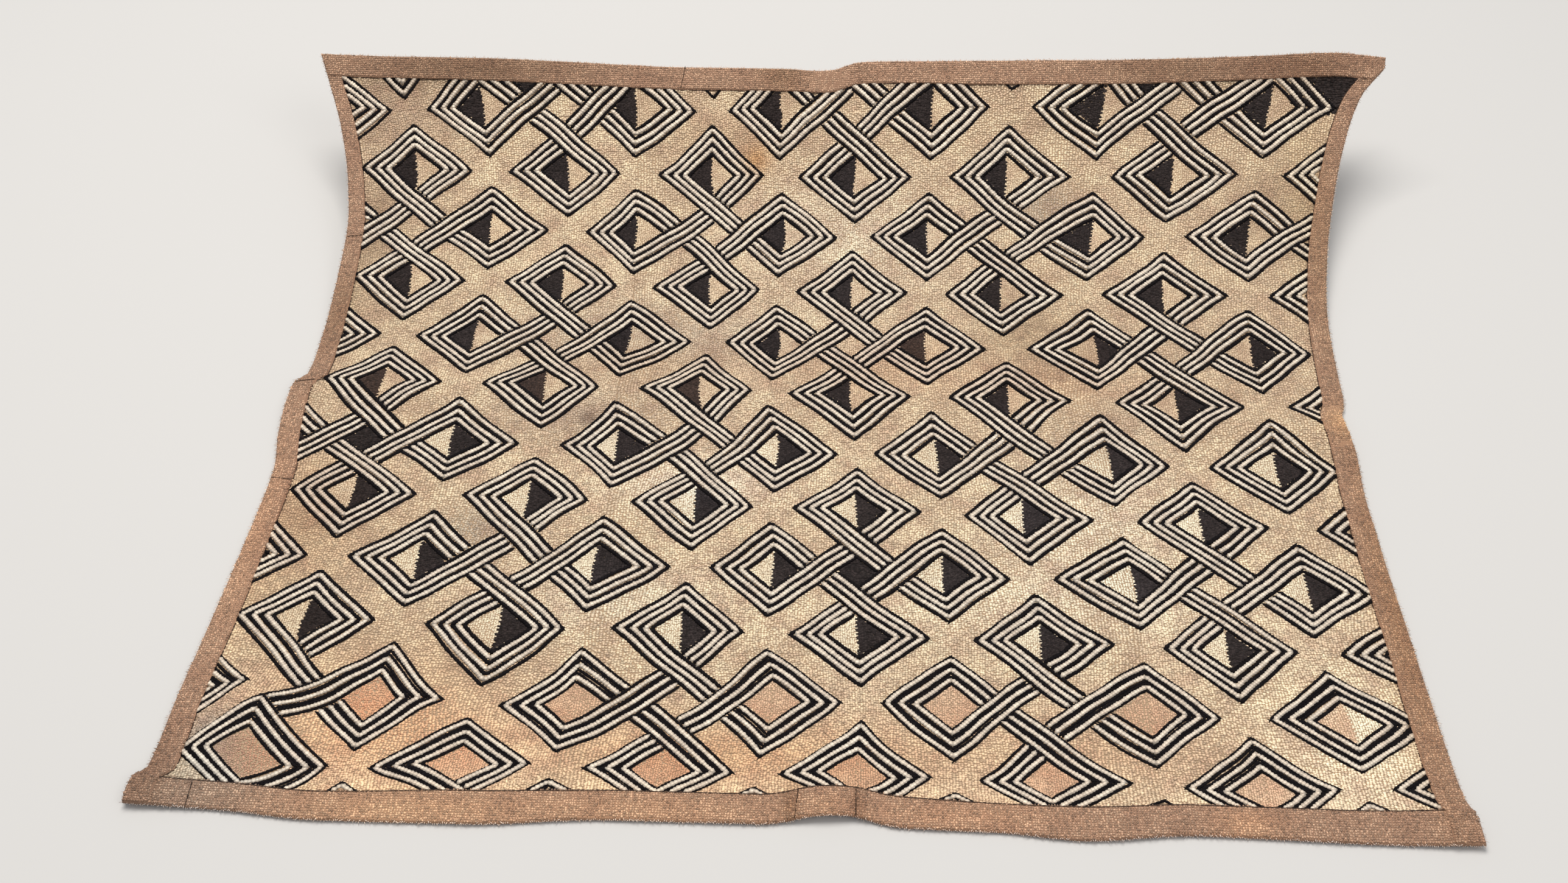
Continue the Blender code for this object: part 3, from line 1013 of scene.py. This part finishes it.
# Where rows of pile are laid out, in half pitches across and in rows of diamonds along the cloth.
PILE_ACROSS = (-8, 8)
PILE_ALONG = (-2, 12.5)

# How far tufts stray from their row and along it, as shares of the pitches.
ROW_STRAY = 0.12
TUFT_STRAY = 0.35

# Tufts stay this far inside the hems, and this far from the line between the halves of a core.
PILE_MARGIN = 0.4 * MM
SPLIT_MARGIN = 0.5 * MM
DARK_SPLIT_MARGIN = 0.95 * MM

# The line between the two halves of a core steps to and fro, in half pitches.
NOTCH_DEPTH = 0.011
NOTCH_PITCH = 0.06

# The rows of pile in the cores are this much closer than those in the lanes.
CORE_PITCH = 0.78

# How far the black pile of a dark lane reaches from its knot, and under the bands beside it, in half pitches.
DARK_LANE_REACH = 1.6
DARK_LANE_OVERLAP = 0.03


def pile_places(seed, pitch, row_pitch):
    """u and v of tufts in uneven rows that run along the cloth, over the whole pattern."""
    random = np.random.default_rng(seed)
    rows = np.arange(*PILE_ACROSS, row_pitch / HALF_PITCH)
    along = np.arange(*PILE_ALONG, pitch / ROW_STEP)
    u, v = (grid.ravel() for grid in np.meshgrid(rows, along))
    u = u + random.normal(0, ROW_STRAY, len(u)) * row_pitch / HALF_PITCH
    v = v + random.uniform(-TUFT_STRAY, TUFT_STRAY, len(v)) * pitch / ROW_STEP
    return u, v


def any_of(i, j, places):
    return np.any([(i == at_i) & (j == at_j) for at_i, at_j in places], axis=0)


def knot_place(u, v, knot):
    """A place from a knot's middle, along its two lanes."""
    return (u - knot[0]) + (v - knot[1]), (v - knot[1]) - (u - knot[0])


def black_lanes(u, v):
    """True for lane places that are filled with black pile."""
    black = (u > DARK_CORNER[0]) & (v < DARK_CORNER[1])
    for knot in DARK_OPENINGS:
        p, q = knot_place(u, v, knot)
        black |= np.maximum(np.abs(p), np.abs(q)) < OPENING
    for knot in DARK_LANE_KNOTS:
        p, q = knot_place(u, v, knot)
        black |= (p > -DARK_LANE_REACH) & (p < -UNDER_END) & (np.abs(q) < OPENING + DARK_LANE_OVERLAP)
    return black


def free_places(u, v, is_covered, in_core):
    """x, s, u, v and diamond of the places in the cores or in the lanes that no stitch or hem covers."""
    x, s = chart(u, v)
    i, j, from_u, from_v = nearest_diamond(u, v)
    from_middle = np.abs(from_u) + np.abs(from_v)
    wanted = from_middle < CORE if in_core else from_middle > CORE
    keep = wanted & ~is_covered(x, s) & inside_hems(x, s, PILE_MARGIN)
    return (values[keep] for values in (x, s, u, v, i, j, from_u, from_v))


def core_places(sizes, is_covered):
    """x, s and diamond of each tuft in the cores, and whether it lies in the half that may be black."""
    u, v = pile_places(sizes.seed + 5, sizes.tuft_pitch * CORE_PITCH, sizes.tuft_row_pitch * CORE_PITCH)
    x, s, _, _, i, j, from_u, from_v = free_places(u, v, is_covered, True)
    notch = NOTCH_DEPTH * np.sign(np.sin(2 * np.pi * from_v / NOTCH_PITCH))
    from_split = (from_u - notch) * HALF_PITCH
    right_half = from_split > 0
    turned_core = (j >= FIRST_TURNED_ROW) | any_of(i, j, TURNED_EARLY)
    dark = right_half == turned_core
    margin = np.where(dark, DARK_SPLIT_MARGIN, SPLIT_MARGIN)
    x = x + np.sign(from_split) * np.maximum(margin - np.abs(from_split), 0)
    return x, s, i, j, dark, right_half


# A tuft's length and width, as shares of the pitches, and how unevenly the tufts are made and turned.
TUFT_LENGTH = 1.6
TUFT_WIDTH = 1.4
TUFT_TURNING = 0.35
TUFT_UNEVENNESS = 0.3

# Black tufts are this much longer and wider, in the lanes and in the cores, and worn ones this much lower.
BLACK_LANE_TUFTS = 1.9
BLACK_CORE_TUFTS = 1.8
WORN_HEIGHT = 0.8


class KUBA_OT_pile(bpy.types.Operator):
    """Fills the lanes, cores and openings with cut pile"""

    bl_idname = "kuba.pile"
    bl_label = "Cut Pile"

    def execute(self, context):
        weave = context.scene.kuba_cloth.weave_thickness
        sizes = context.scene.kuba_stitches
        is_covered = covered_by_stripes()
        tree = tuft_tree()

        lane_u, lane_v = pile_places(sizes.seed, sizes.tuft_pitch, sizes.tuft_row_pitch)
        lane_x, lane_s, lane_u, lane_v, *_ = free_places(lane_u, lane_v, is_covered, False)
        black_lane = black_lanes(lane_u, lane_v)
        front = lane_s < np.median(lane_s)
        x, s, i, j, dark, right_half = core_places(sizes, is_covered)
        bare = (j >= FIRST_BARE_ROW) & ~(any_of(i, j, HALF_BARE_CORES) & right_half)
        dark &= j < FIRST_BARE_ROW
        light = ~dark & ~bare
        brown = dark & any_of(i, j, FADED_CORES)
        core = CORE_PITCH
        dark_core = BLACK_CORE_TUFTS * CORE_PITCH

        # Columns: name, x and s of the places, which of them, material, spread of shades, then the size and
        # the height of the tufts as shares of the usual.
        groups = (
            ("tan_pile_front", lane_x, lane_s, ~black_lane & front, "tan_pile", 0.24, 1.0, 1.0),
            ("tan_pile_back", lane_x, lane_s, ~black_lane & ~front, "tan_pile", 0.20, 1.0, 1.0),
            ("black_lane_pile", lane_x, lane_s, black_lane, "black_pile", 0.3, BLACK_LANE_TUFTS, 1.0),
            ("pale_core_pile", x, s, light & (j >= FIRST_PALE_ROW), "pale_pile", 0.13, core, 1.0),
            ("tan_core_pile", x, s, light & (j < FIRST_PALE_ROW), "tan_pile", 0.13, core, 1.0),
            ("worn_core_pile", x, s, bare, "worn_pile", 0.2, core, WORN_HEIGHT),
            ("black_core_pile", x, s, dark & ~brown, "black_pile", 0.3, dark_core, 1.0),
            ("faded_core_pile", x, s, brown, "faded_pile", 0.3, dark_core, 1.0),
        )
        for count, (name, at_x, at_s, keep, finish, shades, size, height) in enumerate(groups):
            tufts = keep.sum()
            grow(name, tree,
                 {"Tuft Length": TUFT_LENGTH * size * sizes.tuft_pitch,
                  "Tuft Width": TUFT_WIDTH * size * sizes.tuft_row_pitch,
                  "Tuft Height": height * sizes.tuft_height, "Turning": TUFT_TURNING,
                  "Unevenness": TUFT_UNEVENNESS, "Seed": sizes.seed + 3 * count},
                 np.column_stack((at_x[keep], at_s[keep], np.full(tufts, weave))),
                 {"row_angle": np.full(tufts, np.pi / 2)}, finish, shades, patches=STAINS_AND_PAINTED_SHADE + PILE_PATCHES)
        return {'FINISHED'}


# Where the hems' threads, their loose fibres and the dark sewn line with its painted shadow are laid out: from
# and to, across and along.
THREADS_ACROSS = (-345 * MM, 330 * MM)
THREADS_ALONG = (-2 * MM, 535 * MM)
FUZZ_ACROSS = (-326 * MM, 318 * MM)
FUZZ_ALONG = (2 * MM, 518 * MM)
SEWING_AND_SHADOW_ACROSS = (-325 * MM, 300 * MM)
SEWING_AND_SHADOW_ALONG = (14 * MM, 514 * MM)

# Coarse threads: length, width and straying as shares of their pitch, the share of them that runs along the
# cloth, and how unevenly they are turned, made and shaded.
THREAD_LENGTH = 1.7
THREAD_WIDTH = 0.95
THREAD_STRAY = 0.14
THREAD_HEIGHT = 0.55 * MM
THREADS_UPRIGHT = 0.7
THREAD_TURNING = 0.2
THREAD_UNEVENNESS = 0.25
THREAD_SHADES = 0.42

# Loose fibres along the outer edges: how far outside they start, between which shares of the hem's thickness
# they lie, and how unevenly they are turned, made and shaded.
FUZZ_PITCH = 0.9 * MM
FUZZ_LENGTH = 2.6 * MM
FUZZ_WIDTH = 0.4 * MM
FUZZ_OUTSIDE = 0.2 * MM
FUZZ_HEIGHTS = (0.3, 0.9)
FUZZ_TURNING = 1.1
FUZZ_UNEVENNESS = 0.5
FUZZ_SHADES = 0.2

# The dark sewn line along each hem's inner edge, partly thread and partly painted shadow of the hem's step:
# its distance from the hem's inner edge, its width, the step along its line, and its stitches.
SEWING_AND_SHADOW_LINE_IN = 0.45 * MM
SEWING_AND_SHADOW_WIDTH = 0.55 * MM
SEWING_AND_SHADOW_STEP = 2.0 * MM
SEWING_AND_SHADOW_SHADES = 0.3
SEWING_AND_SHADOW_STITCHES = {"Stitch Pitch": 2.2 * MM, "Stitch Length": 3.4 * MM, "Stitch Height": 0.6 * MM,
                   "Slant": 0.06, "Unevenness": 0.25}

# Dark seams and creases across the hems. They are this wide and lie this high on the hem.
# Columns: name, x and s of one end, x and s of the other, in mm.
HEM_MARKS = (
    ("seam in the left hem, middle", -313, 276, -298, 279),
    ("seam in the left hem, back", -306, 392, -299, 393),
    ("seam in the left hem, front", -309, 205, -301, 204),
    ("crease at the centre fold, left", -28, 7, -27, 20),
    ("crease at the centre fold, right", -1, 9, -1, 21),
    ("seam in the front hem, left", -300, 5, -300, 16),
    ("seam in the back hem, left", -112, 500, -110, 512),
)
MARK_WIDTH = 0.8 * SEWING_AND_SHADOW_WIDTH
MARK_LIFT = 0.3 * MM
MARK_POINTS = 9


class KUBA_OT_hems(bpy.types.Operator):
    """Weaves the coarse threads of the hems, and sews the hems down with a dark thread that is also painted
    shadow along their inner edges
    """

    bl_idname = "kuba.hems"
    bl_label = "Hem Threads and Sewing"

    def execute(self, context):
        cloth = context.scene.kuba_cloth
        seed = context.scene.kuba_stitches.seed
        self.threads(cloth, seed)
        self.fuzz(cloth, seed)
        x, s, h, run, width = self.sewing(cloth)
        # The dark line along the hems' inner edges is partly thread and partly painted shadow.
        grow("hem_sewing", stem_stitch_tree(), SEWING_AND_SHADOW_STITCHES | {"Seed": seed + 80},
             np.column_stack((x, s, h)), {"stripe_width": width}, "sewing_thread", SEWING_AND_SHADOW_SHADES,
             joined_runs(run, np.ones(len(x), bool)))
        return {'FINISHED'}

    def threads(self, cloth, seed):
        """Coarse threads all over the hems, most of them along the cloth and the rest across it."""
        pitch = cloth.hem_thread_pitch
        random = np.random.default_rng(seed)
        columns = np.arange(*THREADS_ACROSS, pitch)
        rows = np.arange(*THREADS_ALONG, pitch)
        x, s = (grid.ravel() for grid in np.meshgrid(columns, rows))
        x = x + random.normal(0, THREAD_STRAY, len(x)) * pitch
        s = s + random.normal(0, THREAD_STRAY, len(x)) * pitch
        _, high, in_hem = surface_heights(x, s, cloth)
        on_sheet = np.all([distance > HEM_RIM for distance, _ in edges(x, s)], axis=0)
        keep = on_sheet & (in_hem > THREADS_FROM)
        angle = np.where(random.uniform(0, 1, len(x)) < THREADS_UPRIGHT, np.pi / 2, 0.0)
        grow("hem_threads", tuft_tree(),
             {"Tuft Length": THREAD_LENGTH * pitch, "Tuft Width": THREAD_WIDTH * pitch,
              "Tuft Height": THREAD_HEIGHT, "Turning": THREAD_TURNING, "Unevenness": THREAD_UNEVENNESS,
              "Seed": seed + 60},
             np.column_stack((x, s, high))[keep], {"row_angle": angle[keep]}, "hem_thread", THREAD_SHADES)

    def fuzz(self, cloth, seed):
        """Pale fibres that stand out from the worn outer edges of the hems."""
        random = np.random.default_rng(seed + 90)
        along = np.arange(*FUZZ_ALONG, FUZZ_PITCH)
        across = np.arange(*FUZZ_ACROSS, FUZZ_PITCH)
        edge_lines = (
            (column(SIDES, along, 1), along, 0.0),
            (column(SIDES, along, 2), along, 0.0),
            (across, column(ENDS, across, 1), np.pi / 2),
            (across, column(ENDS, across, 2), np.pi / 2),
        )
        x, s, angle = np.concatenate([np.broadcast_arrays(*line) for line in edge_lines], axis=1)
        keep = np.all([distance > -FUZZ_OUTSIDE for distance, _ in edges(x, s)], axis=0)
        h = random.uniform(*FUZZ_HEIGHTS, len(x)) * cloth.hem_thickness
        grow("hem_fuzz", tuft_tree(),
             {"Tuft Length": FUZZ_LENGTH, "Tuft Width": FUZZ_WIDTH, "Tuft Height": FUZZ_WIDTH,
              "Turning": FUZZ_TURNING, "Unevenness": FUZZ_UNEVENNESS, "Seed": seed + 91},
             np.column_stack((x, s, h))[keep], {"row_angle": angle[keep]}, "hem_fuzz", FUZZ_SHADES)

    def sewing(self, cloth):
        """Runs of dark thread: along the inner edge of each hem, where the line is partly thread and partly
        painted shadow, then across the hems at their marks.
        """
        along = np.arange(*SEWING_AND_SHADOW_ALONG, SEWING_AND_SHADOW_STEP)
        across = np.arange(*SEWING_AND_SHADOW_ACROSS, SEWING_AND_SHADOW_STEP)
        low = cloth.weave_thickness + 0.2 * MM
        high = cloth.hem_thickness + 0.1 * MM
        # The front line lies on its hem, so whether it is in a side hem is asked of the cloth just behind it.
        behind = 2 * SEWING_AND_SHADOW_LINE_IN + 0.1 * MM
        lines = (
            (column(SIDES, along, 1) + column(SIDES, along, 3) + SEWING_AND_SHADOW_LINE_IN, along, low, 0.0),
            (column(SIDES, along, 2) - column(SIDES, along, 4) - SEWING_AND_SHADOW_LINE_IN, along, low, 0.0),
            (across, column(ENDS, across, 1) + column(ENDS, across, 3) - SEWING_AND_SHADOW_LINE_IN, high, behind),
            (across, column(ENDS, across, 2) - column(ENDS, across, 4) - SEWING_AND_SHADOW_LINE_IN, low, 0.0),
        )
        parts = []
        for run, (x, s, h, further) in enumerate(lines):
            keep = inside_hems(x, s + further, 0.1 * MM)
            parts.append([values[keep] for values in np.broadcast_arrays(x, s, h, run, SEWING_AND_SHADOW_WIDTH)])
        for run, (_, x0, s0, x1, s1) in enumerate(HEM_MARKS, len(lines)):
            x = np.linspace(x0, x1, MARK_POINTS) * MM
            s = np.linspace(s0, s1, MARK_POINTS) * MM
            h = surface_heights(x, s, cloth)[1] + MARK_LIFT
            parts.append(np.broadcast_arrays(x, s, h, run, MARK_WIDTH))
        return np.concatenate(parts, axis=1)


# Camera: place in metres and turn in degrees, worked out from the pattern's regular spacing.
CAMERA_PLACE = (-0.00815, -0.6572, 0.6596)
CAMERA_TURN = (44.298, 0.183, 1.897)
SENSOR_WIDTH_MM = 36.0
LENS_MM = 39.13

# Soft lights. Columns: name, place, size in metres, power in watts, colour.
LIGHTS = (
    ("overhead", (-0.3, 0.5, 2.2), 1.4, 62.0, (1.0, 0.97, 0.93)),
    ("front right", (1.3, -1.2, 1.8), 1.2, 14.0, (1.0, 0.98, 0.96)),
)
ROOM_LIGHT = (0.92, 0.95, 1.0, 1)
ROOM_STRENGTH = 0.45
FLOOR_COLOUR = (0.50, 0.49, 0.475, 1)
FLOOR_HALF_WIDTH = 6.0


class KUBA_OT_stage(bpy.types.Operator):
    """Sets up the pale floor, the soft lights and the camera"""

    bl_idname = "kuba.stage"
    bl_label = "Floor, Lights and Camera"

    def execute(self, context):
        half = FLOOR_HALF_WIDTH
        mesh = bpy.data.meshes.new("floor")
        mesh.from_pydata([(-half, -half, 0), (half, -half, 0), (half, half, 0), (-half, half, 0)], [],
                         [(0, 1, 2, 3)])
        floor = new_object("floor", mesh)
        paper = bpy.data.materials.new("pale_floor")
        paper.use_nodes = True
        finish = paper.node_tree.nodes["Principled BSDF"]
        finish.inputs["Base Color"].default_value = FLOOR_COLOUR
        finish.inputs["Roughness"].default_value = 0.9
        mesh.materials.append(paper)

        for name, place, size, power, colour in LIGHTS:
            lamp = bpy.data.lights.new(name, 'AREA')
            lamp.shape = 'SQUARE'
            lamp.size = size
            lamp.energy = power
            lamp.color = colour
            light = new_object(name, lamp)
            light.location = place
            x, y, z = place
            light.rotation_euler = (np.arctan2(np.hypot(x, y), z), 0, np.arctan2(-y, -x) - np.pi / 2)

        world = bpy.data.worlds.new("soft studio")
        world.use_nodes = True
        world.node_tree.nodes["Background"].inputs["Color"].default_value = ROOM_LIGHT
        world.node_tree.nodes["Background"].inputs["Strength"].default_value = ROOM_STRENGTH
        context.scene.world = world
        context.scene.view_settings.view_transform = 'Standard'

        camera = new_object("camera", bpy.data.cameras.new("camera"))
        camera.data.sensor_fit = 'HORIZONTAL'
        camera.data.sensor_width = SENSOR_WIDTH_MM
        camera.data.lens = LENS_MM
        camera.location = CAMERA_PLACE
        camera.rotation_euler = np.radians(CAMERA_TURN)
        context.scene.camera = camera
        return {'FINISHED'}


class KUBA_PT_cloth(bpy.types.Panel):
    """Lists the sizes, the colours and the pieces of the cloth"""

    bl_idname = "KUBA_PT_cloth"
    bl_label = "Kuba Raffia Cloth"
    bl_space_type = 'VIEW_3D'
    bl_region_type = 'UI'
    bl_category = "Raffia Cloth"

    def draw(self, context):
        scene = context.scene
        for group in (scene.kuba_cloth, scene.kuba_stitches, scene.kuba_colours):
            box = self.layout.box()
            for name in group.__annotations__:
                box.prop(group, name)
        for operator in OPERATORS:
            self.layout.operator(operator.bl_idname)


OPERATORS = (KUBA_OT_panel, KUBA_OT_embroidery, KUBA_OT_pile, KUBA_OT_hems, KUBA_OT_stage)
CLASSES = (ClothSizes, StitchSizes, RaffiaColours) + OPERATORS + (KUBA_PT_cloth,)


def register():
    for kind in CLASSES:
        bpy.utils.register_class(kind)
    bpy.types.Scene.kuba_cloth = bpy.props.PointerProperty(type=ClothSizes)
    bpy.types.Scene.kuba_stitches = bpy.props.PointerProperty(type=StitchSizes)
    bpy.types.Scene.kuba_colours = bpy.props.PointerProperty(type=RaffiaColours)


def unregister():
    del bpy.types.Scene.kuba_colours
    del bpy.types.Scene.kuba_stitches
    del bpy.types.Scene.kuba_cloth
    for kind in reversed(CLASSES):
        bpy.utils.unregister_class(kind)


def main():
    register()
    bpy.ops.kuba.panel()
    bpy.ops.kuba.embroidery()
    bpy.ops.kuba.pile()
    bpy.ops.kuba.hems()
    bpy.ops.kuba.stage()


if __name__ == "__main__":
    main()
